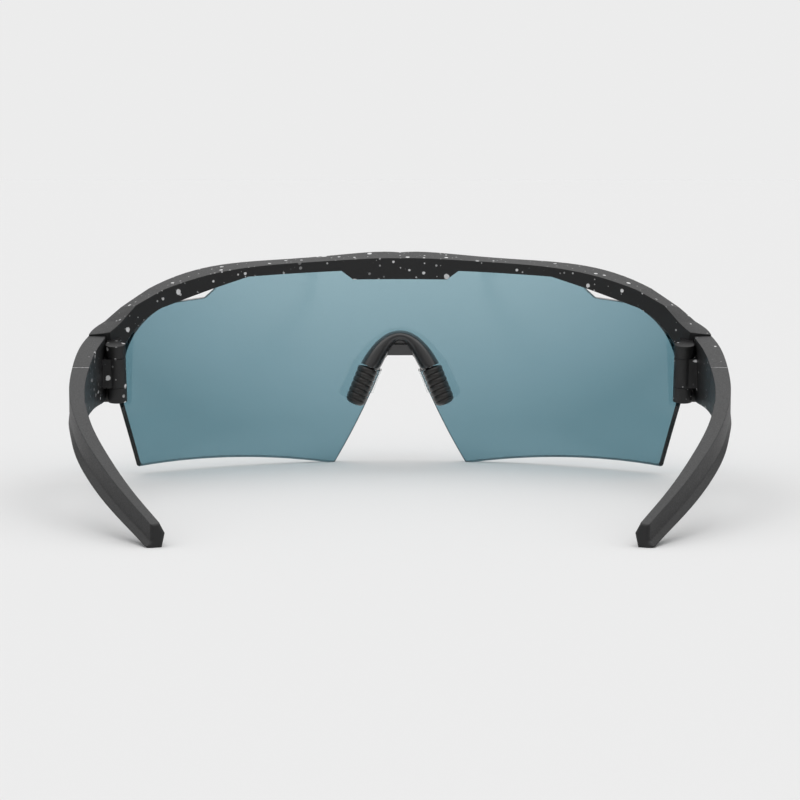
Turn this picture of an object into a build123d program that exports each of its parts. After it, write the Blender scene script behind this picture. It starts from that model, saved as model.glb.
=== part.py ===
"""Wraparound sport sunglasses: a half-rim brow frame that carries one curved
shield lens, a clip-in nose piece with two adjustable pads, and two folding
temples with rubber sleeves.

Row frame: +Z up, the front of the glasses faces -Y, the wearer is on +Y and the
wearer's left is +X. The glasses stand on the two inner corners of the lens and
on the two temple tips, and the origin is at the bottom centre of their box.
Every left piece is built once, and its right twin is the mirror image.
"""
import os
from math import asin, cos, radians, sin, sqrt

from build123d import *

# ---- Front: lens and brow frame, in a frame tilted back from the vertical ------
FRONT_Y = -72.45            # lens crest at the middle of the front
FRONT_TILT = 4.0            # degrees that the top of the front leans to the wearer
LENS_RADIUS = 88.0          # outer skin of the lens in plan
LENS_DROP_RADIUS = 300.0    # its second curve, from top to bottom
LENS_CREST = 28.0           # height where the second curve stands furthest out
LENS_THICKNESS = 2.0
LENS_TOP = 50.3             # height of the lens edge inside the brow groove
LENS_SIDE = 68.2            # half width of the lens edge inside the lug groove
LENS_FOOT = 0.10            # height of the inner bottom corners of the lens
LENS_TIP = 4.2              # height of the outer bottom corners of the lens
NOTCH_HALF_WIDTH = 16.6     # half width of the nose notch at the bottom
GROOVE_DEPTH = 2.0          # how far the lens edge stands in the frame
GROOVE_CLEARANCE = 0.1
FRONT_LIP = 1.2             # frame in front of the lens crest line
REAR_LIP = 2.7              # frame behind the lens crest line
BROW_TOP = 52.6             # top of the brow at the middle
TAB_DROP = 2.2              # how far the centre tab hangs below the brow
TAB_HALF_WIDTH = 11.6
LUG_OUTER = 73.0            # outer face of the lug at the hinge seam
LUG_INNER = 66.4            # inner face of the lug
LUG_BOTTOM = 21.0
LUG_BEND_RADIUS = 12.0
LUG_WALL = 4.2              # thickness of the lug at the hinge seam
LUG_SHOULDER = 40.6         # depth where the lug thins down to that wall
LUG_INNER_TOP = 30.5        # height where its inner face turns into the brow

# ---- Sizes that only have to be larger than what they cut or hold ---------------
FAR = 60.0
GROUND = 400.0

# ---- Hinge: its own frame has Z along the screw and Y along the open temple ----
HINGE_X = 66.4
HINGE_Y = -28.85
HINGE_Z = 26.0
HINGE_LEAN = 12.0           # degrees that the screw leans back
BARREL_RADIUS = 2.3
BARREL_CLEARANCE = 0.3
TONGUE_HEIGHT = 7.0
EAR_GAP = 0.1
EAR_TOP = TONGUE_HEIGHT / 2 + EAR_GAP + 3.0
EAR_REACH = 6.4             # how far an ear's block runs forward into the lug
EAR_INSIDE = 0.6            # how far that block stands inside the screw's centre line
EAR_BOTTOM = -(TONGUE_HEIGHT / 2 + EAR_GAP + 3.6)
SEAM_Y = -3.3               # rear face of the lug
SEAM_GAP = 0.15
SCREW_RADIUS = 0.8
SCREW_FIT = 0.05
THREAD_FIT = 0.02
HEAD_RADIUS = 1.5
HEAD_HEIGHT = 0.9
INSERT_RADIUS = 1.35
INSERT_LENGTH = 2.4
BUSHING_RADIUS = 1.3

# ---- Temple, in the hinge frame --------------------------------------------------
SLEEVE_START = 19.7         # seam between the hard arm and the rubber sleeve
SLEEVE_GAP = 0.1
SLEEVE_FIT = 0.05
SLEEVE_WALL = 0.8           # rubber over the hard stub
TEMPLE_END = 101.8          # where the top of the tip ends, along the open temple
TIP_HEADING = 27.0          # degrees that the tip turns towards the head
TIP_RAKE = -25.0            # degrees that the end face leans, its foot behind its top
STUB_END = 74.0             # end of the hard stub inside the sleeve
WIRE_RADIUS = 0.7
WIRE_START = STUB_END - 12.0
WIRE_END = TEMPLE_END - 7.8
END_ROUND = 0.7             # rounding round the end face of the tip
GRIP_START = 42.0           # first grip wave on the inner wall of the sleeve
GRIP_PITCH = 7.0
GRIP_COUNT = 6
GRIP_RADIUS = 9.0
GRIP_DEPTH = 0.35

# ---- Nose piece, in the tilted frame of the front --------------------------------
PAD_HALF_WIDTH = 2.55
PAD_HALF_DEPTH = 3.4
PAD_LENGTH = 9.6
PAD_GAP = 0.5               # free wire between the arch leg and the pad
PAD_WIRE_RADIUS = 0.6
PAD_WIRE_IN_LEG = 2.2
PAD_WIRE_IN_PAD = 6.0
LEG_BORE_RADIUS = 1.0
SADDLE_FLOOR = 27.4         # flat top of the nose opening
SADDLE_FRONT = 1.1          # saddle in front of the lens crest line
SADDLE_REAR = 1.4           # saddle behind the lens
LEDGE_TOP = 30.1            # step on the back of the saddle, under the arch
LEDGE_REAR = 2.6
CLIP_LIP = 0.5

front_place = Pos(0, FRONT_Y, 0) * Rot(-FRONT_TILT, 0, 0)
hinge_place = Pos(HINGE_X, HINGE_Y, HINGE_Z) * Rot(-HINGE_LEAN, 0, 0)


def single(shape):
    """The largest solid of a shape, as a plain solid."""
    return max(shape.solids(), key=lambda solid: solid.volume)


def mirrored(shape):
    return mirror(shape, about=Plane.YZ)


def sag(height):
    """How far the second curve of the lens falls back at this height."""
    return LENS_DROP_RADIUS - sqrt(LENS_DROP_RADIUS**2 - (height - LENS_CREST) ** 2)


def plan_y(x, radius):
    """Depth of the lens curve of this radius at half width x."""
    return LENS_RADIUS - sqrt(radius**2 - x**2)


def toric_shell(outer, inner, low=-6.0, high=60.0):
    """Shell between two skins of the lens shape, centred on the front."""
    out_arc = ThreePointArc((outer - sag(low), low), (outer, LENS_CREST), (outer - sag(high), high))
    top = Line((outer - sag(high), high), (inner - sag(high), high))
    in_arc = ThreePointArc((inner - sag(high), high), (inner, LENS_CREST), (inner - sag(low), low))
    foot = Line((inner - sag(low), low), (outer - sag(low), low))
    profile = Plane.XZ * make_face([out_arc, top, in_arc, foot])
    ring = revolve(profile, Axis.Z, 140)
    return Pos(0, LENS_RADIUS, 0) * Rot(0, 0, 200) * ring


def below_ground():
    """Everything under the surface that the glasses stand on."""
    return Pos(0, 0, -FAR / 2) * Box(GROUND, GROUND, FAR)


def elevation(face, start, end):
    """Extrude an outline drawn in the front view from depth start to depth end."""
    return Pos(0, start, 0) * extrude(Plane.XZ * face, -(end - start))


# ---- Lens --------------------------------------------------------------------------
def brow_edge():
    """Lower edge of the frame, from the centre tab to the lug, as (x, z) points."""
    low = LENS_TOP - GROOVE_DEPTH
    return [(14.5, low + 0.4), (37.0, low - 0.2), (45.4, low - 2.6), (57.1, low - 6.2)]


def lens_outline(grow=0.0):
    """Front view of the lens, with its nose notch and its two vent notches."""
    brow = brow_edge()
    edge = GROOVE_DEPTH
    half = [
        (0, LENS_TOP + 0.2),
        (brow[1][0] + 0.3, brow[1][1] + edge),
        (brow[2][0] - 0.6, brow[2][1] + edge + 0.3),
        (brow[2][0] + 0.1, brow[2][1] - 0.4),
        (brow[2][0] + 2.4, brow[2][1] - 2.4),
        (brow[3][0] - 2.7, brow[3][1] + 0.75),
        (brow[3][0] - 2.0, brow[3][1] + edge + 0.6),
        (brow[3][0] + 1.4, brow[3][1] + edge - 0.3),
    ]
    upper = Polyline(*half)
    side = ThreePointArc(half[-1], (LENS_SIDE - 3.2, 38.6), (LENS_SIDE, 30.0))
    rim = Polyline((LENS_SIDE, 30.0), (LENS_SIDE, 24.0), (LENS_SIDE - 1.3, 20.6), (63.1, LENS_TIP))
    sweep_low = ThreePointArc((63.1, LENS_TIP), (40.0, 3.15), (NOTCH_HALF_WIDTH, LENS_FOOT))
    notch = ThreePointArc((NOTCH_HALF_WIDTH, LENS_FOOT), (8.8, 14.5), (5.0, 23.2))
    seat = Polyline((5.0, 23.2), (6.4, 23.2), (5.4, 28.8), (0, 28.8))
    close = Line((0, 28.8), half[0])
    face = make_face([upper, side, rim, sweep_low, notch, seat, close])
    whole = face + mirror(face, about=Plane.YZ)
    corners = whole.vertices().filter_by(lambda v: v.Z < 5 and v.Y < 5)
    whole = fillet(corners, 0.8)
    if grow:
        whole = offset(whole, grow, kind=Kind.INTERSECTION)
    return whole


def make_lens():
    shell = toric_shell(LENS_RADIUS, LENS_RADIUS - LENS_THICKNESS)
    lens = shell & elevation(lens_outline(), -FAR, FAR)
    return single(lens - front_place.inverse() * below_ground())


def lens_room():
    """The lens, grown by the groove clearance on every side."""
    shell = toric_shell(LENS_RADIUS + GROOVE_CLEARANCE, LENS_RADIUS - LENS_THICKNESS - GROOVE_CLEARANCE)
    return shell & elevation(lens_outline(GROOVE_CLEARANCE), -FAR, FAR)


# ---- Brow frame --------------------------------------------------------------------
FRAME_OUTER = LENS_RADIUS + FRONT_LIP
FRAME_INNER = LENS_RADIUS - LENS_THICKNESS - REAR_LIP


def top_section(front, rear, reach=6.0, floor=10.0):
    """Upright section under one line of the top surface, from front to rear."""
    front = Vector(*front)
    rear = Vector(*rear)
    step = (front - rear).normalized() * reach
    far = front + step
    near = rear - step
    return Face(Wire.make_polygon([far, near, (near.X, near.Y, floor), (far.X, far.Y, floor)]))


def brow_section(x_front, front_height, rear_height):
    """A top section that stands square to the lens curve."""
    scale = FRAME_INNER / FRAME_OUTER
    x_rear = x_front * scale
    front = (x_front, plan_y(x_front, FRAME_OUTER), front_height)
    rear = (x_rear, plan_y(x_rear, FRAME_INNER), rear_height)
    return top_section(front, rear)


def frame_plan():
    """Plan of half the frame: brow arc, corner bend and lug."""
    turn = asin((LUG_OUTER - LUG_BEND_RADIUS) / (FRAME_OUTER - LUG_BEND_RADIUS))
    start = (FRAME_OUTER * sin(turn), plan_y(FRAME_OUTER * sin(turn), FRAME_OUTER))
    centre = (LUG_OUTER - LUG_BEND_RADIUS, start[1] + LUG_BEND_RADIUS * cos(turn))
    half_turn = (turn + radians(90)) / 2
    middle = (centre[0] + LUG_BEND_RADIUS * sin(half_turn), centre[1] - LUG_BEND_RADIUS * cos(half_turn))
    brow_x = FRAME_OUTER * sin(turn / 2)
    brow = ThreePointArc((0, plan_y(0, FRAME_OUTER)), (brow_x, plan_y(brow_x, FRAME_OUTER)), start)
    bend = ThreePointArc(start, middle, (LUG_OUTER, centre[1]))
    inner_y = plan_y(LUG_INNER, FRAME_INNER)
    lug_inside = LUG_OUTER - LUG_WALL
    lug_back = [(LUG_OUTER, FAR), (lug_inside, FAR), (lug_inside, LUG_SHOULDER)]
    lug = Polyline((LUG_OUTER, centre[1]), *lug_back, (LUG_INNER, inner_y))
    rear_middle = (LUG_INNER / 2, plan_y(LUG_INNER / 2, FRAME_INNER))
    rear_crest = (0, plan_y(0, FRAME_INNER))
    rear = ThreePointArc((LUG_INNER, inner_y), rear_middle, rear_crest)
    middle_line = Line(rear_crest, (0, plan_y(0, FRAME_OUTER)))
    return make_face([brow, bend, lug, rear, middle_line])


def frame_outline():
    """Front view of half the frame below its top surface."""
    brow = brow_edge()
    tab = brow[0][1] - TAB_DROP
    lower = Polyline((0, tab), (TAB_HALF_WIDTH, tab), *brow)
    corner = ThreePointArc(brow[-1], (LUG_INNER - 3.3, 37.4), (LUG_INNER, LUG_INNER_TOP))
    lug = [(LUG_INNER, LUG_INNER_TOP), (LUG_INNER, LUG_BOTTOM), (LUG_OUTER + FAR, LUG_BOTTOM)]
    above = [(LUG_OUTER + FAR, BROW_TOP + FAR), (0, BROW_TOP + FAR), (0, tab)]
    rest = Polyline(*lug, *above)
    return make_face([lower, corner, rest])


def frame_top():
    """Everything below the top surface of half the frame, in two lofts with a crease."""
    crease = brow_section(60.5, BROW_TOP - 6.3, BROW_TOP - 6.1)
    brow = [
        brow_section(0.0, BROW_TOP, BROW_TOP - 0.9),
        brow_section(15.0, BROW_TOP - 0.45, BROW_TOP - 1.2),
        brow_section(36.0, BROW_TOP - 1.4, BROW_TOP - 2.0),
        brow_section(46.0, BROW_TOP - 2.1, BROW_TOP - 2.9),
        brow_section(55.0, BROW_TOP - 4.1, BROW_TOP - 4.6),
        crease,
    ]
    corner = [
        crease,
        top_section((66.9, 28.4, BROW_TOP - 10.2), (62.8, 32.6, BROW_TOP - 9.2)),
        top_section((70.4, 32.4, BROW_TOP - 13.0), (65.6, 36.6, BROW_TOP - 12.6)),
        top_section((LUG_OUTER, 40.8, BROW_TOP - 15.6), (LUG_OUTER - 4.0, 41.4, BROW_TOP - 15.7)),
        top_section((LUG_OUTER, 46.0, BROW_TOP - 17.3), (LUG_OUTER - 4.0, 46.6, BROW_TOP - 17.4)),
    ]
    return loft(brow) + loft(corner, ruled=True)


def ear(low, high, radius=BARREL_RADIUS):
    """Hinge ear: a barrel and the block that ties it to the lug, in the hinge frame."""
    barrel = Pos(0, 0, low) * extrude(Circle(radius), high - low)
    block = Pos((radius - EAR_INSIDE) / 2, -EAR_REACH / 2, (low + high) / 2)
    return barrel + block * Box(radius + EAR_INSIDE, EAR_REACH, high - low)


def bore(radius, low, high):
    return Pos(0, 0, low) * extrude(Circle(radius), high - low)


def hinge_rooms():
    """What is cut from the frame for the tongue, the screw and the insert."""
    half = TONGUE_HEIGHT / 2 + EAR_GAP
    tongue = bore(BARREL_RADIUS + BARREL_CLEARANCE, -half, half)
    side = Pos(5, SEAM_Y + 5, 0) * Box(10, 10, 2 * half)
    screw = bore(SCREW_RADIUS + SCREW_FIT, EAR_BOTTOM - 1, EAR_TOP - 0.8)
    head = bore(HEAD_RADIUS + SCREW_FIT, EAR_BOTTOM - 1, EAR_BOTTOM + HEAD_HEIGHT + 0.1)
    insert = bore(INSERT_RADIUS + THREAD_FIT, half, half + INSERT_LENGTH + THREAD_FIT)
    return tongue + side + screw + head + insert


def to_front(shape):
    """A shape of the hinge frame, written in the tilted front."""
    return front_place.inverse() * (hinge_place * shape)


def make_frame(room):
    band = extrude(frame_plan(), BROW_TOP + FAR) & elevation(frame_outline(), -FAR, 2 * FAR)
    half = band & frame_top()
    half -= to_front(Pos(0, SEAM_Y + FAR / 2, 0) * Box(FAR, FAR, 2 * FAR))
    ears = ear(EAR_BOTTOM, -TONGUE_HEIGHT / 2 - EAR_GAP) + ear(TONGUE_HEIGHT / 2 + EAR_GAP, EAR_TOP)
    half += to_front(ears)
    half -= to_front(hinge_rooms())
    whole = half + mirrored(half)
    return single(whole - room)


# ---- Hinge hardware, in the hinge frame -----------------------------------------------
def make_screw():
    shank_end = TONGUE_HEIGHT / 2 + EAR_GAP + INSERT_LENGTH - 0.1
    head = bore(HEAD_RADIUS, EAR_BOTTOM, EAR_BOTTOM + HEAD_HEIGHT)
    shank = bore(SCREW_RADIUS, EAR_BOTTOM, shank_end)
    slot = Pos(0, 0, EAR_BOTTOM) * Box(2.2, 0.45, 0.8)
    return single(head + shank - slot)


def make_insert():
    low = TONGUE_HEIGHT / 2 + EAR_GAP
    tube = bore(INSERT_RADIUS, low, low + INSERT_LENGTH)
    return single(tube - bore(SCREW_RADIUS + THREAD_FIT, low - 1, low + INSERT_LENGTH + 1))


def make_bushing():
    half = TONGUE_HEIGHT / 2
    tube = bore(BUSHING_RADIUS, -half, half)
    return single(tube - bore(SCREW_RADIUS + SCREW_FIT, -half - 1, half + 1))


# ---- Temple, in the hinge frame -------------------------------------------------------
# Each station: y, x of the outer top edge, height of that edge, width of the top face,
# full height, how far the outer wall leans out, how far the inner wall bulges in.
STATIONS = [
    (SEAM_Y + SEAM_GAP, LUG_OUTER - HINGE_X, 7.75, 4.2, 15.0, 0.1, 0.05),
    (4.0, 7.4, 7.6, 4.25, 14.4, 0.1, 0.05),
    (12.0, 7.65, 7.3, 4.05, 12.7, 0.1, 0.05),
    (22.0, 7.35, 6.8, 3.75, 10.8, 0.15, 0.05),
    (35.8, 6.1, 6.0, 3.35, 8.3, 0.4, 0.1),
    (46.2, 4.1, 5.3, 3.1, 7.2, 0.6, 0.4),
    (57.4, 1.1, 4.4, 2.9, 6.4, 1.2, 0.7),
    (71.2, -3.9, 3.1, 2.6, 5.7, 1.8, 0.8),
    (81.7, -8.3, 2.0, 2.3, 5.3, 1.9, 0.8),
    (92.0, -13.2, 0.8, 2.0, 4.9, 1.8, 0.8),
    (101.0, -17.8, -0.4, 1.9, 4.5, 1.7, 0.8),
    (112.0, -23.6, -2.0, 1.8, 4.3, 1.5, 0.8),
]


def between(y):
    """A station worked out between two listed ones."""
    for near, far in zip(STATIONS, STATIONS[1:]):
        if near[0] <= y <= far[0]:
            share = (y - near[0]) / (far[0] - near[0])
            return tuple(a + share * (b - a) for a, b in zip(near, far))
    raise ValueError("no station at this place")


def heading(y):
    """Direction of the temple in plan, as a unit vector."""
    near = max(y - 8, STATIONS[0][0])
    far = min(y + 8, STATIONS[-1][0])
    return Vector(between(far)[1] - between(near)[1], far - near, 0).normalized()


def temple_section(station, inset=0.0):
    """Seven-sided section of the temple, square to its heading in plan."""
    y, x, top, width, height, lean, bulge = station
    ahead = heading(y)
    outward = Vector(ahead.Y, -ahead.X, 0)
    corner = Vector(x, y, top)
    low_bevel = min(0.25 * width + 0.3 * lean, 1.0)
    outline = [
        (-inset, -inset),
        (0.35 * lean - inset, -0.64 * height),
        (lean - inset, -0.84 * height),
        (lean - low_bevel - 0.4 * inset, inset - height),
        (0.4 - width + 0.6 * inset, inset - height),
        (inset - width - bulge, -0.45 * height),
        (inset - width, -inset),
    ]
    return Face(Wire.make_polygon([corner + outward * u + Vector(0, 0, v) for u, v in outline]))


def temple_envelope():
    return loft([temple_section(s) for s in STATIONS])


def slab(start, end):
    """Everything between two depths along the open temple."""
    return Pos(0, (start + end) / 2, 0) * Box(2 * FAR, end - start, FAR)


def stub_shape(grow, end):
    """Hard core of the arm inside the sleeve."""
    sections = [temple_section(s, SLEEVE_WALL - grow) for s in STATIONS if 10 < s[0] < 90]
    return loft(sections) & slab(SLEEVE_START - 1, end)


def wire_shape(radius):
    """Round wire that follows the middle of the temple into the tip."""
    centre = []
    for y in (WIRE_START, (WIRE_START + WIRE_END) / 2, WIRE_END):
        y, x, top, width, height, lean, bulge = between(y)
        outward = Vector(heading(y).Y, -heading(y).X, 0)
        centre.append(Vector(x, y, top - height / 2) + outward * ((lean - bulge - width) / 2))
    path = ThreePointArc(*centre)
    return sweep(Plane(centre[0], z_dir=path % 0) * Circle(radius), path)


def make_arm(envelope, wire_room):
    front = envelope & slab(-FAR, SLEEVE_START)
    arm = front + stub_shape(0, STUB_END)
    half = TONGUE_HEIGHT / 2
    room_outside = bore(BARREL_RADIUS + BARREL_CLEARANCE, -20, 20)
    room_outside += Pos(0, -3, 0) * Box(2 * (BARREL_RADIUS + BARREL_CLEARANCE), 6, 40)
    arm -= room_outside
    barrel = bore(BARREL_RADIUS, -half, half)
    web = Pos(2.4, 0.6, 0) * Box(4.8, 3.0, TONGUE_HEIGHT)
    arm += barrel + web
    arm -= bore(BUSHING_RADIUS + THREAD_FIT, -half - 1, half + 1)
    return single(arm - wire_room)


def grip_waves():
    """Shallow upright hollows along the inner wall of the sleeve."""
    waves = []
    for k in range(GRIP_COUNT):
        y, x, top, width, height, lean, bulge = between(GRIP_START + k * GRIP_PITCH)
        ahead = heading(y)
        inward = Vector(-ahead.Y, ahead.X, 0)
        centre = Vector(x, y, 0) + inward * (width + bulge / 2 + GRIP_RADIUS - GRIP_DEPTH)
        waves.append(Pos(centre.X, centre.Y, -FAR / 2) * extrude(Circle(GRIP_RADIUS), FAR))
    return waves


def make_sleeve(envelope, wire_room):
    sleeve = envelope & slab(SLEEVE_START + SLEEVE_GAP, TEMPLE_END + FAR)
    end = between(TEMPLE_END)
    face = Pos(end[1], TEMPLE_END, end[2]) * Rot(0, 0, TIP_HEADING) * Rot(-TIP_RAKE, 0, 0)
    sleeve -= face * Pos(0, FAR / 2, 0) * Box(FAR, FAR, FAR)
    sleeve = face * fillet((face.inverse() * sleeve).faces().sort_by(Axis.Y)[-1].edges(), END_ROUND)
    for wave in grip_waves():
        sleeve -= wave
    sleeve -= stub_shape(SLEEVE_FIT, STUB_END + 0.1)
    ground = hinge_place.inverse() * below_ground()
    return single(sleeve - ground - wire_room)


# ---- Nose piece, in the tilted frame of the front -----------------------------------------
LENS_BACK = LENS_THICKNESS
SHOULDER = Vector(7.7, LENS_BACK + 5.2, 25.0)
PAD_FOOT = Vector(11.5, LENS_BACK + 6.6, 15.5)


def leg_plane(point, direction):
    """Plane square to a leg, with its X in the front view and its Y in depth."""
    side = Vector(0, 1, 0).cross(direction).normalized()
    return Plane(point, x_dir=side, z_dir=direction)


def make_arch():
    """Inverted V behind the lens, from shoulder to shoulder."""
    low = SHOULDER
    mid = Vector(4.7, LENS_BACK + 3.6, 29.2)
    top = Vector(0, LENS_BACK + 2.4, 32.4)
    down = (PAD_FOOT - SHOULDER).normalized()
    half = [
        (low, down * -1, 2.2, 2.9),
        (mid, Vector(-0.72, -0.1, 0.69), 2.1, 2.5),
    ]
    sections = [leg_plane(p, d) * Ellipse(a, b) for p, d, a, b in half]
    sections.append(leg_plane(top, Vector(-1, 0, 0)) * Ellipse(1.25, 2.2))
    for point, direction, a, b in reversed(half):
        twin = Vector(-point.X, point.Y, point.Z)
        heading = Vector(direction.X, -direction.Y, -direction.Z)
        sections.append(leg_plane(twin, heading) * Ellipse(a, b))
    return loft(sections)


def both_sides(points):
    """A closed outline of one half in the front view, with its mirror image."""
    face = make_face(Polyline(*points, points[0]))
    return face + mirror(face, about=Plane.YZ)


def make_bridge(room):
    crown = [(0, 32.0), (3.2, 31.2), (5.9, 28.9), (7.7, 23.8)]
    notch = [(5.1, 23.4), (4.5, 25.8), (3.1, SADDLE_FLOOR), (0, SADDLE_FLOOR)]
    ledge = [(0, LEDGE_TOP), (2.4, LEDGE_TOP), (4.8, 26.9), (3.9, 26.4)]
    ledge += [(3.1, SADDLE_FLOOR), (0, SADDLE_FLOOR)]
    saddle = elevation(both_sides(crown + notch), -SADDLE_FRONT, LENS_BACK + SADDLE_REAR)
    saddle += elevation(both_sides(ledge), 0, LENS_BACK + LEDGE_REAR)
    bridge = saddle + make_arch()
    for side in (1, -1):
        leg = Plane(Vector(side * SHOULDER.X, SHOULDER.Y, SHOULDER.Z), z_dir=wire_direction(side))
        bridge -= leg * extrude(Circle(LEG_BORE_RADIUS), PAD_WIRE_IN_LEG + 0.3, both=True)
    return single(bridge - room)


def wire_direction(side=1):
    down = (PAD_FOOT - SHOULDER).normalized()
    return Vector(side * down.X, down.Y, down.Z)


def pad_plane():
    """Top face of the pad, with Z pointing down along the pad."""
    start = SHOULDER + wire_direction() * PAD_GAP
    return leg_plane(start, wire_direction())


def make_pad():
    body = extrude(Ellipse(PAD_HALF_WIDTH, PAD_HALF_DEPTH), PAD_LENGTH)
    low_rim = body.edges().sort_by(Axis.Z)[-1]
    body = fillet([low_rim], 1.3)
    wire_room = extrude(Circle(PAD_WIRE_RADIUS + SLEEVE_FIT), PAD_WIRE_IN_PAD + SLEEVE_FIT)
    return single(pad_plane() * (body - wire_room))


def make_pad_wire():
    length = PAD_WIRE_IN_LEG + PAD_GAP + PAD_WIRE_IN_PAD
    wire = Pos(0, 0, -PAD_GAP - PAD_WIRE_IN_LEG) * extrude(Circle(PAD_WIRE_RADIUS), length)
    return single(pad_plane() * wire)


def make_clip(room):
    """Clear U-shaped rail on one side of the notch, below the saddle."""
    edge_high = ThreePointArc((5.1 - CLIP_LIP, 23.2), (6.2 - CLIP_LIP, 20.6), (7.2 - CLIP_LIP, 17.6))
    low = Line((7.2 - CLIP_LIP, 17.6), (8.5, 17.6))
    outer = ThreePointArc((8.5, 17.6), (7.5, 20.4), (6.4, 23.0))
    high = Line((6.4, 23.0), (5.1 - CLIP_LIP, 23.2))
    rail = elevation(make_face([edge_high, low, outer, high]), -0.9, LENS_BACK + 1.2)
    return single(rail - room)


# ---- Assembly ------------------------------------------------------------------------------
def write(name, shape):
    export_step(shape, "parts/" + name + ".step")


def write_pair(name, shape):
    write("left_" + name, shape)
    write("right_" + name, mirrored(shape))


def main():
    os.makedirs("parts", exist_ok=True)
    room = lens_room()
    write("shield_lens", front_place * make_lens())
    write("front_frame", front_place * make_frame(room))
    write("nose_bridge", front_place * make_bridge(room))
    write_pair("lens_clip", front_place * make_clip(room))
    write_pair("nose_pad", front_place * make_pad())
    write_pair("nose_pad_wire", front_place * make_pad_wire())

    envelope = temple_envelope()
    wire_room = wire_shape(WIRE_RADIUS + SLEEVE_FIT)
    write_pair("temple_arm", hinge_place * make_arm(envelope, wire_room))
    write_pair("temple_sleeve", hinge_place * make_sleeve(envelope, wire_room))
    write_pair("tip_wire", hinge_place * single(wire_shape(WIRE_RADIUS)))
    write_pair("hinge_screw", hinge_place * make_screw())
    write_pair("hinge_insert", hinge_place * make_insert())
    write_pair("hinge_bushing", hinge_place * make_bushing())


main()
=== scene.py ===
"""Looks of the wraparound sport sunglasses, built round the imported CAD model."""

import math

import bmesh
import bpy
from mathutils import Matrix, Vector

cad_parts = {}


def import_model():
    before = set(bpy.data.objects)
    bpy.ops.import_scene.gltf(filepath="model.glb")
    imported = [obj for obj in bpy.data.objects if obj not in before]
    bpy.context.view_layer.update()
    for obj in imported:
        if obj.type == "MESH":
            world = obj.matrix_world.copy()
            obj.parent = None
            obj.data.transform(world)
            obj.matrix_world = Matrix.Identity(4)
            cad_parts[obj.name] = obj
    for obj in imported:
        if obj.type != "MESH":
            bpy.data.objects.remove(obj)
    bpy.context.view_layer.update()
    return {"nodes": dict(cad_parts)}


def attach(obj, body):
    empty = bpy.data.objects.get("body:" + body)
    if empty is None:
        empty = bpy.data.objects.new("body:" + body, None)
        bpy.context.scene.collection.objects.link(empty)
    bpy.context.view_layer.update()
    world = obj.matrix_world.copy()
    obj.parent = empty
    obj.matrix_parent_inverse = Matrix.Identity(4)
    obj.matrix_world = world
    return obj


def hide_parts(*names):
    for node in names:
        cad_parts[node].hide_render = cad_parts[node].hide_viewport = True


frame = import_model()
MM = 0.001
NODES = frame["nodes"]

# Place of the tilted front in the row frame, as the CAD model has it.
FRONT_Y = -72.45 * MM
FRONT_TILT = math.radians(4.0)
FRONT_PLACE = Matrix.Translation((0, FRONT_Y, 0)) @ Matrix.Rotation(-FRONT_TILT, 4, "X")
LENS_RADIUS = 88.0 * MM
LENS_AXIS_Y = FRONT_Y + LENS_RADIUS     # upright axis that the lens curves about
LENS_HEIGHT = 50 * MM
LENS_HALF_WIDTH = 67 * MM

# Nose pad, in the tilted frame of the front, for X > 0.
SHOULDER = Vector((7.7, 7.2, 25.0)) * MM
PAD_FOOT = Vector((11.5, 8.6, 15.5)) * MM
PAD_GAP = 0.5 * MM
PAD_HALF_WIDTH = 2.55 * MM
PAD_HALF_DEPTH = 3.4 * MM
PAD_LENGTH = 9.6 * MM

# Hinge of the open temple: a point on its axis and the direction of the temple, for X > 0.
HINGE = Vector((66.4, -28.85, 26.0)) * MM
HINGE_LEAN = math.radians(12)
TEMPLE_AHEAD = Vector((0, math.cos(HINGE_LEAN), -math.sin(HINGE_LEAN)))
SEAM = 19.7 * MM            # from the hinge to the front edge of the sleeve


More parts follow.
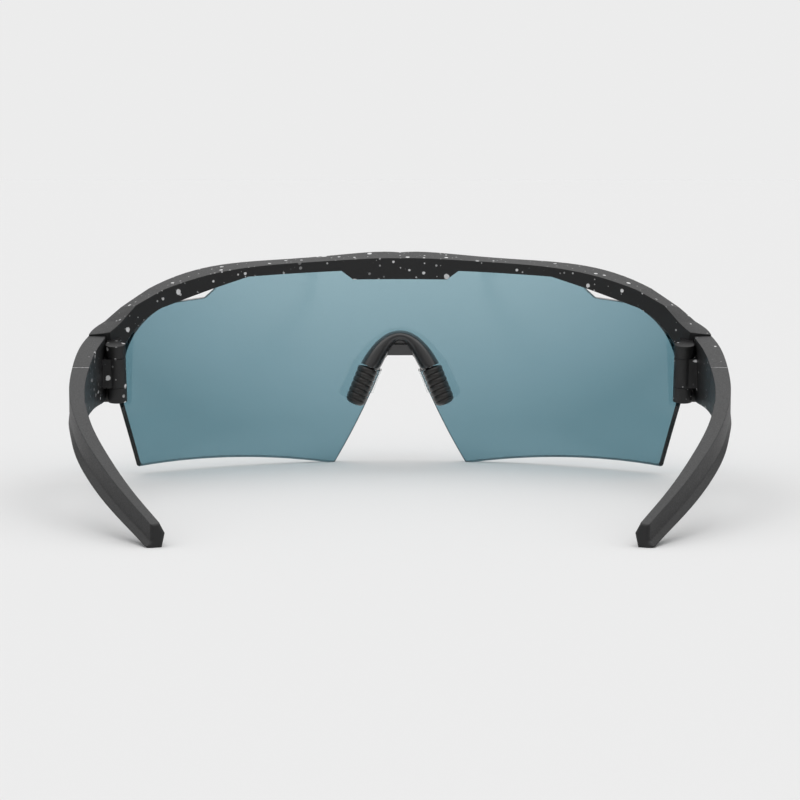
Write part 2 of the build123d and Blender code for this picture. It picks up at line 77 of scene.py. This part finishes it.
# ---- Node helpers ----------------------------------------------------------------
class Nodes:
    """Short calls for building one material."""

    def __init__(self, name):
        self.material = bpy.data.materials.new(name)
        self.material.use_nodes = True
        self.tree = self.material.node_tree
        self.shader = self.tree.nodes["Principled BSDF"]
        self.out = self.tree.nodes["Material Output"]
        self.place = self.tree.nodes.new("ShaderNodeTexCoord").outputs["Object"]

    def new(self, kind, inputs=None, **settings):
        node = self.tree.nodes.new(kind)
        for key, value in settings.items():
            setattr(node, key, value)
        for key, value in (inputs or {}).items():
            self.put(node, key, value)
        return node

    def put(self, node, key, value):
        if isinstance(value, bpy.types.NodeSocket):
            self.tree.links.new(value, node.inputs[key])
        else:
            node.inputs[key].default_value = value

    def shade(self, **values):
        for key, value in values.items():
            self.put(self.shader, key.replace("_", " "), value)

    def math(self, operation, a, b=0.0, clamp=False):
        node = self.new("ShaderNodeMath", operation=operation, use_clamp=clamp)
        self.put(node, 0, a)
        self.put(node, 1, b)
        return node.outputs[0]

    def spread(self, scale, place=None):
        """The coordinates, scaled separately along X, Y and Z."""
        node = self.new("ShaderNodeMapping", {"Vector": place or self.place, "Scale": scale})
        return node.outputs["Vector"]

    def noise(self, scale, detail=3.0, place=None):
        inputs = {"Vector": place or self.place, "Scale": scale, "Detail": detail}
        return self.new("ShaderNodeTexNoise", inputs).outputs["Fac"]

    def ramp(self, fac, *stops):
        node = self.new("ShaderNodeValToRGB", {"Fac": fac})
        points = node.color_ramp.elements
        while len(points) < len(stops):
            points.new(0.5)
        for point, (at, colour) in zip(points, stops):
            point.position = at
            point.color = colour if isinstance(colour, tuple) else (colour, colour, colour, 1)
        return node.outputs["Color"]

    def dot(self, a, b):
        """Dot product of two vectors."""
        node = self.new("ShaderNodeVectorMath", {0: a, 1: b}, operation="DOT_PRODUCT")
        return node.outputs["Value"]

    def mix(self, fac, a, b):
        node = self.new("ShaderNodeMix", data_type="RGBA")
        self.put(node, 0, fac)
        self.put(node, 6, a)
        self.put(node, 7, b)
        return node.outputs[2]

    def let_lamps_through(self, colour):
        """Glass whose shadow is as pale as the real one's."""
        path = self.new("ShaderNodeLightPath").outputs["Is Shadow Ray"]
        pane = self.new("ShaderNodeBsdfTransparent", {"Color": colour}).outputs[0]
        mix = self.new("ShaderNodeMixShader", {0: path, 1: self.shader.outputs[0], 2: pane})
        self.tree.links.new(mix.outputs[0], self.out.inputs["Surface"])

    def bump(self, height, strength, distance, edge=0.0):
        node = self.new("ShaderNodeBump", {"Height": height, "Strength": strength, "Distance": distance})
        if edge:
            soft = self.new("ShaderNodeBevel", {"Radius": edge}, samples=4)
            self.put(node, "Normal", soft.outputs["Normal"])
        self.put(self.shader, "Normal", node.outputs["Normal"])


def grey(value):
    return (value, value, value, 1)


def wear(name, material):
    """Give a CAD node its material."""
    slots = NODES[name].data.materials
    slots.clear()
    slots.append(material)


# ---- Materials ---------------------------------------------------------------------
def flecks(n, spacing, reach, share, place=None):
    """Mask of paint flecks: most cells are empty, the rest differ in size."""
    inputs = {"Vector": place or n.place, "Scale": 1 / spacing, "Randomness": 1.0}
    cells = n.new("ShaderNodeTexVoronoi", inputs)
    pick = n.new("ShaderNodeSeparateColor", {"Color": cells.outputs["Color"]})
    size = n.math("MULTIPLY", n.math("SUBTRACT", pick.outputs["Red"], 1 - share), reach / share)
    ragged = n.math("MULTIPLY", n.math("SUBTRACT", n.noise(1500.0, 2.0), 0.5), 0.12)
    edge = n.math("SUBTRACT", n.math("ADD", size, ragged), cells.outputs["Distance"])
    return n.math("MULTIPLY", n.math("MULTIPLY", edge, 30.0, clamp=True), n.math("GREATER_THAN", size, 0.0))


def painted_plastic():
    n = Nodes("speckled_black_plastic")
    cloud = n.noise(60.0, 4.0)
    fine = n.noise(2600.0, 3.0)
    base = n.mix(cloud, (0.007, 0.007, 0.0075, 1), (0.013, 0.013, 0.0135, 1))
    dust = flecks(n, 1.0 * MM, 0.28, 0.40)
    small = flecks(n, 1.9 * MM, 0.30, 0.44)
    large = flecks(n, 3.8 * MM, 0.21, 0.40)
    smear = flecks(n, 5.2 * MM, 0.22, 0.26, n.spread((1.8, 1.8, 0.55)))
    patches = n.ramp(n.noise(95.0, 2.0), (0.38, 0.0), (0.52, 1.0))
    fine_marks = n.math("MULTIPLY", n.math("MAXIMUM", small, n.math("MULTIPLY", dust, 0.6)), patches)
    mask = n.math("MAXIMUM", fine_marks, n.math("MAXIMUM", large, smear))
    paint = n.mix(n.noise(900.0, 2.0), (0.60, 0.60, 0.61, 1), (0.95, 0.95, 0.95, 1))
    n.shade(Base_Color=n.mix(mask, base, paint), Roughness=n.ramp(fine, (0.3, 0.42), (0.7, 0.56)))
    n.put(n.shader, "Specular IOR Level", 0.45)
    relief = n.math("ADD", n.math("MULTIPLY", fine, 0.25), n.math("MULTIPLY", mask, 0.8))
    n.bump(relief, 0.35, 0.03 * MM, 0.25 * MM)
    return n.material


def sleeve_rubber():
    n = Nodes("satin_black_rubber")
    fine = n.noise(3400.0, 4.0)
    cloud = n.noise(45.0, 3.0)
    base = n.mix(cloud, (0.010, 0.010, 0.0105, 1), (0.017, 0.017, 0.018, 1))
    # Painted highlight: a pale line along the sleeve's front edge at the seam, drawn only on faces turned
    # upwards.
    past = n.math("SUBTRACT", n.dot(n.place, TEMPLE_AHEAD), HINGE.dot(TEMPLE_AHEAD) + SEAM)
    edge = n.math("LESS_THAN", past, n.math("MULTIPLY", n.noise(700.0, 2.0), 0.6 * MM))
    normal = n.new("ShaderNodeNewGeometry").outputs["Normal"]
    upward = n.new("ShaderNodeSeparateXYZ", {0: normal}).outputs["Z"]
    edge = n.math("MULTIPLY", edge, n.math("MULTIPLY", n.math("SUBTRACT", upward, 0.35), 3.0, clamp=True))
    painted_seam_highlight = n.mix(n.noise(900.0, 3.0), grey(0.30), grey(0.70))
    n.shade(Base_Color=n.mix(edge, base, painted_seam_highlight))
    n.shade(Roughness=n.ramp(fine, (0.3, 0.44), (0.7, 0.62)))
    n.put(n.shader, "Specular IOR Level", 0.5)
    n.bump(n.math("ADD", n.math("MULTIPLY", fine, 0.6), n.noise(600.0, 3.0)), 0.35, 0.04 * MM, 0.35 * MM)
    return n.material


def pad_rubber():
    n = Nodes("soft_pad_rubber")
    fine = n.noise(2600.0, 4.0)
    n.shade(Base_Color=n.mix(n.noise(150.0), (0.016, 0.015, 0.014, 1), (0.034, 0.031, 0.029, 1)))
    n.shade(Roughness=n.ramp(fine, (0.3, 0.30), (0.7, 0.46)))
    n.bump(fine, 0.3, 0.02 * MM)
    return n.material


def gloss_plastic():
    n = Nodes("gloss_black_plastic")
    fine = n.noise(1200.0, 3.0)
    n.shade(Base_Color=n.mix(n.noise(90.0), (0.010, 0.010, 0.011, 1), (0.018, 0.018, 0.019, 1)))
    n.shade(Roughness=n.ramp(fine, (0.3, 0.28), (0.7, 0.38)), IOR=1.6)
    n.shade(Coat_Weight=0.6, Coat_Roughness=0.16)
    n.bump(fine, 0.15, 0.02 * MM, 0.2 * MM)
    return n.material


def lens_tint_and_painted_reflection():
    n = Nodes("teal_lens")
    x, y, z = n.new("ShaderNodeSeparateXYZ", {"Vector": n.place}).outputs
    # Painted reflection: the teal is drawn lighter towards the top, darker towards the outer sides, lighter
    # again at the low outer corners, and varies in broad blotches.
    height = n.math("DIVIDE", z, LENS_HEIGHT, clamp=True)
    side = n.math("DIVIDE", n.math("ABSOLUTE", x), LENS_HALF_WIDTH, clamp=True)
    edge = n.math("MULTIPLY", n.math("POWER", side, 2.5), 0.62)
    wave = n.math("MULTIPLY", n.math("SUBTRACT", n.noise(22.0, 2.0), 0.5), 0.22)
    low = n.math("SUBTRACT", 1.0, n.math("MULTIPLY", height, 5.0, clamp=True))
    painted_corner_reflection = n.math("MULTIPLY", n.math("MULTIPLY", low, side), 0.62)
    painted_reflection_tone = n.math("ADD", n.math("ADD", n.math("SUBTRACT", height, edge), painted_corner_reflection), wave, clamp=True)
    deep, middle, pale = (0.13, 0.26, 0.31, 1), (0.20, 0.35, 0.41, 1), (0.32, 0.49, 0.55, 1)
    tint_and_painted_reflection = n.ramp(painted_reflection_tone, (0.0, deep), (0.40, middle), (1.0, pale))
    # Painted shade: the cut faces of the lens and a band 0.5 mm wide along its edges are drawn nearly
    # black.
    from_axis = n.math("SUBTRACT", y, LENS_AXIS_Y)
    outward = n.new("ShaderNodeCombineXYZ", {"X": x, "Y": from_axis}).outputs[0]
    outward = n.new("ShaderNodeVectorMath", {0: outward}, operation="NORMALIZE").outputs[0]
    flat = n.new("ShaderNodeNewGeometry").outputs["True Normal"]
    cut_face = n.math("LESS_THAN", n.math("ABSOLUTE", n.dot(flat, outward)), 0.75)
    soft = n.new("ShaderNodeBevel", {"Radius": 0.5 * MM}, samples=8).outputs["Normal"]
    near_edge = n.math("LESS_THAN", n.math("ABSOLUTE", n.dot(flat, soft)), 0.975)
    painted_edge_shade = n.math("MAXIMUM", cut_face, n.math("MULTIPLY", near_edge, 0.9))
    n.shade(Base_Color=n.mix(painted_edge_shade, tint_and_painted_reflection, (0.004, 0.008, 0.010, 1)), Roughness=0.03, IOR=1.45)
    n.put(n.shader, "Transmission Weight", 1.0)
    n.let_lamps_through((0.80, 0.88, 0.90, 1))
    return n.material


def clear_plastic():
    n = Nodes("clear_clip_plastic")
    haze = n.noise(400.0, 2.0)
    n.shade(Base_Color=n.mix(haze, (0.86, 0.88, 0.88, 1), (0.95, 0.96, 0.96, 1)))
    n.shade(Roughness=n.ramp(haze, (0.3, 0.06), (0.7, 0.16)), IOR=1.46)
    n.put(n.shader, "Transmission Weight", 1.0)
    n.let_lamps_through((0.90, 0.92, 0.92, 1))
    return n.material


def metal(name, low, high, roughness):
    n = Nodes(name)
    brushed = n.noise(900.0, 4.0, n.spread((1.0, 1.0, 0.15)))
    n.shade(Base_Color=n.mix(brushed, low, high), Metallic=1.0)
    n.shade(Roughness=n.ramp(brushed, (0.3, roughness - 0.06), (0.7, roughness + 0.08)))
    n.bump(brushed, 0.2, 0.01 * MM)
    return n.material


painted = painted_plastic()
rubber = sleeve_rubber()
pad_skin = pad_rubber()
gloss = gloss_plastic()
steel = metal("spring_steel", (0.42, 0.42, 0.43, 1), (0.60, 0.60, 0.61, 1), 0.34)
black_steel = metal("blackened_screw_steel", (0.06, 0.06, 0.06, 1), (0.14, 0.14, 0.14, 1), 0.38)
brass = metal("turned_brass", (0.62, 0.44, 0.20, 1), (0.78, 0.58, 0.28, 1), 0.28)
clear = clear_plastic()
tint_and_painted_reflection = lens_tint_and_painted_reflection()

wear("front_frame", painted)
wear("shield_lens", tint_and_painted_reflection)
wear("nose_bridge", gloss)
for side in ("left_", "right_"):
    wear(side + "temple_arm", painted)
    wear(side + "temple_sleeve", rubber)
    wear(side + "lens_clip", clear)
    wear(side + "nose_pad", pad_skin)
    wear(side + "nose_pad_wire", steel)
    wear(side + "tip_wire", steel)
    wear(side + "hinge_screw", black_steel)
    wear(side + "hinge_insert", brass)
    wear(side + "hinge_bushing", brass)


# ---- Nose pads -----------------------------------------------------------------------
RIBS = 7
RIB_DEPTH = 0.42 * MM
PAD_ROUNDS = 56             # vertices round one ring
PAD_STEPS = 168             # rings along the pad
PAD_END_ROUND = 1.5 * MM    # length of the rounded foot
PAD_END_SHRINK = 1.7 * MM
CONE_RINGS = 3              # rings of the cone that leaves room for the bend
CONE_HEIGHT = 0.35 * MM
CONE_SHRINK = 1.3 * MM


def ribbed_pad(side, sign):
    """Elliptical rubber pad with ribs, along the same line as its CAD solid."""
    down = (PAD_FOOT - SHOULDER).normalized()
    across = Vector((0, 1, 0)).cross(down).normalized()
    back = down.cross(across)
    start = SHOULDER + down * PAD_GAP
    mesh = bmesh.new()
    rings = []
    for step in range(-CONE_RINGS, PAD_STEPS + 1):
        share = max(step, 0) / PAD_STEPS
        along = PAD_LENGTH * share if step >= 0 else CONE_HEIGHT * step / CONE_RINGS
        place = 2 * ((RIBS * share) % 1.0) - 1
        groove = RIB_DEPTH * (1 - math.sqrt(max(0.0, 1 - place * place)))
        end = max(0.0, along - (PAD_LENGTH - PAD_END_ROUND)) / PAD_END_ROUND
        shrink = (1 - math.sqrt(max(0.0, 1 - end * end))) * PAD_END_SHRINK
        shrink += max(-step, 0) / CONE_RINGS * CONE_SHRINK
        ring = []
        for k in range(PAD_ROUNDS):
            angle = 2 * math.pi * k / PAD_ROUNDS
            ridge = groove * (0.55 + 0.45 * abs(math.sin(angle)))
            a = PAD_HALF_WIDTH - ridge - shrink
            b = PAD_HALF_DEPTH - ridge - shrink
            spot = start + down * along + across * (a * math.cos(angle)) + back * (b * math.sin(angle))
            spot = Vector((sign * spot.x, spot.y, spot.z))
            ring.append(mesh.verts.new(FRONT_PLACE @ spot))
        rings.append(ring)
    for low, high in zip(rings, rings[1:]):
        for k in range(PAD_ROUNDS):
            ahead = (k + 1) % PAD_ROUNDS
            mesh.faces.new((low[k], low[ahead], high[ahead], high[k]))
    mesh.faces.new(rings[0])
    mesh.faces.new(rings[-1])
    bmesh.ops.recalc_face_normals(mesh, faces=mesh.faces)
    data = bpy.data.meshes.new(side + "ribbed_nose_pad")
    mesh.to_mesh(data)
    mesh.free()
    for face in data.polygons:
        face.use_smooth = True
    data.materials.append(pad_skin)
    pad = bpy.data.objects.new(side + "ribbed_nose_pad", data)
    bpy.context.scene.collection.objects.link(pad)
    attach(pad, side + "pad")
    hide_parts(side + "nose_pad")


ribbed_pad("left_", 1)
ribbed_pad("right_", -1)


# ---- Floor, light and camera ------------------------------------------------------------
BACKGROUND = 0.84
FLOOR_ALBEDO = 0.80
FLOOR_RADIUS = 40.0
SKY_STRENGTH = 0.89
CAMERA_PLACE = Vector((0, 528.15, 71.67)) * MM
CAMERA_DIP = 5.372          # degrees that the camera looks down
CAMERA_LENS = 107.4


def floor():
    data = bpy.data.meshes.new("floor")
    mesh = bmesh.new()
    bmesh.ops.create_circle(mesh, cap_ends=True, radius=FLOOR_RADIUS, segments=96)
    mesh.to_mesh(data)
    mesh.free()
    plane = bpy.data.objects.new("floor", data)
    bpy.context.scene.collection.objects.link(plane)
    n = Nodes("pale_floor")
    n.shade(Base_Color=grey(FLOOR_ALBEDO), Roughness=0.9)
    n.put(n.shader, "Specular IOR Level", 0.1)
    data.materials.append(n.material)


def world():
    scene_world = bpy.data.worlds.new("studio")
    bpy.context.scene.world = scene_world
    scene_world.use_nodes = True
    tree = scene_world.node_tree
    tree.nodes.clear()
    path = tree.nodes.new("ShaderNodeLightPath")
    either = tree.nodes.new("ShaderNodeMath")
    either.operation = "MAXIMUM"
    tree.links.new(path.outputs["Is Camera Ray"], either.inputs[0])
    tree.links.new(path.outputs["Is Transmission Ray"], either.inputs[1])
    light = tree.nodes.new("ShaderNodeBackground")
    sky = tree.nodes.new("ShaderNodeTexCoord").outputs["Generated"]
    split = tree.nodes.new("ShaderNodeSeparateXYZ")
    tree.links.new(sky, split.inputs[0])
    bands = {}
    for axis, stops in (("Z", ((0.10, 0.14), (0.42, 1.0))), ("Y", ((0.0, 1.0), (1.0, 0.45)))):
        ramp = tree.nodes.new("ShaderNodeValToRGB")
        tree.links.new(split.outputs[axis], ramp.inputs["Fac"])
        for point, (at, value) in zip(ramp.color_ramp.elements, stops):
            point.position = at
            point.color = grey(value)
        bands[axis] = ramp.outputs["Color"]
    backdrop = tree.nodes.new("ShaderNodeMapRange")
    backdrop.inputs["From Min"].default_value = -0.80
    backdrop.inputs["From Max"].default_value = -0.97
    backdrop.inputs["To Max"].default_value = 0.8
    tree.links.new(split.outputs["Y"], backdrop.inputs["Value"])
    shaded = tree.nodes.new("ShaderNodeMath")
    shaded.operation = "MULTIPLY"
    tree.links.new(bands["Z"], shaded.inputs[0])
    tree.links.new(bands["Y"], shaded.inputs[1])
    total = tree.nodes.new("ShaderNodeMath")
    total.operation = "MAXIMUM"
    tree.links.new(shaded.outputs[0], total.inputs[0])
    tree.links.new(backdrop.outputs[0], total.inputs[1])
    tree.links.new(total.outputs[0], light.inputs["Color"])
    light.inputs["Strength"].default_value = SKY_STRENGTH
    seen = tree.nodes.new("ShaderNodeBackground")
    seen.inputs["Color"].default_value = grey(BACKGROUND)
    seen.inputs["Strength"].default_value = 1.0
    mix = tree.nodes.new("ShaderNodeMixShader")
    tree.links.new(either.outputs[0], mix.inputs[0])
    tree.links.new(light.outputs[0], mix.inputs[1])
    tree.links.new(seen.outputs[0], mix.inputs[2])
    out = tree.nodes.new("ShaderNodeOutputWorld")
    tree.links.new(mix.outputs[0], out.inputs["Surface"])


def sun():
    lamp = bpy.data.lights.new("overhead", "SUN")
    lamp.energy = 1.0
    lamp.angle = math.radians(80)
    thing = bpy.data.objects.new("overhead", lamp)
    bpy.context.scene.collection.objects.link(thing)
    thing.rotation_euler = (math.radians(8), 0, 0)


def camera():
    data = bpy.data.cameras.new("camera")
    data.sensor_width = 36.0
    data.lens = CAMERA_LENS
    data.clip_start = 0.01
    data.clip_end = 200.0
    thing = bpy.data.objects.new("camera", data)
    bpy.context.scene.collection.objects.link(thing)
    thing.location = CAMERA_PLACE
    thing.rotation_euler = (math.radians(90 - CAMERA_DIP), 0, math.radians(180))
    bpy.context.scene.camera = thing


floor()
world()
sun()
camera()
bpy.context.scene.view_settings.view_transform = "Standard"
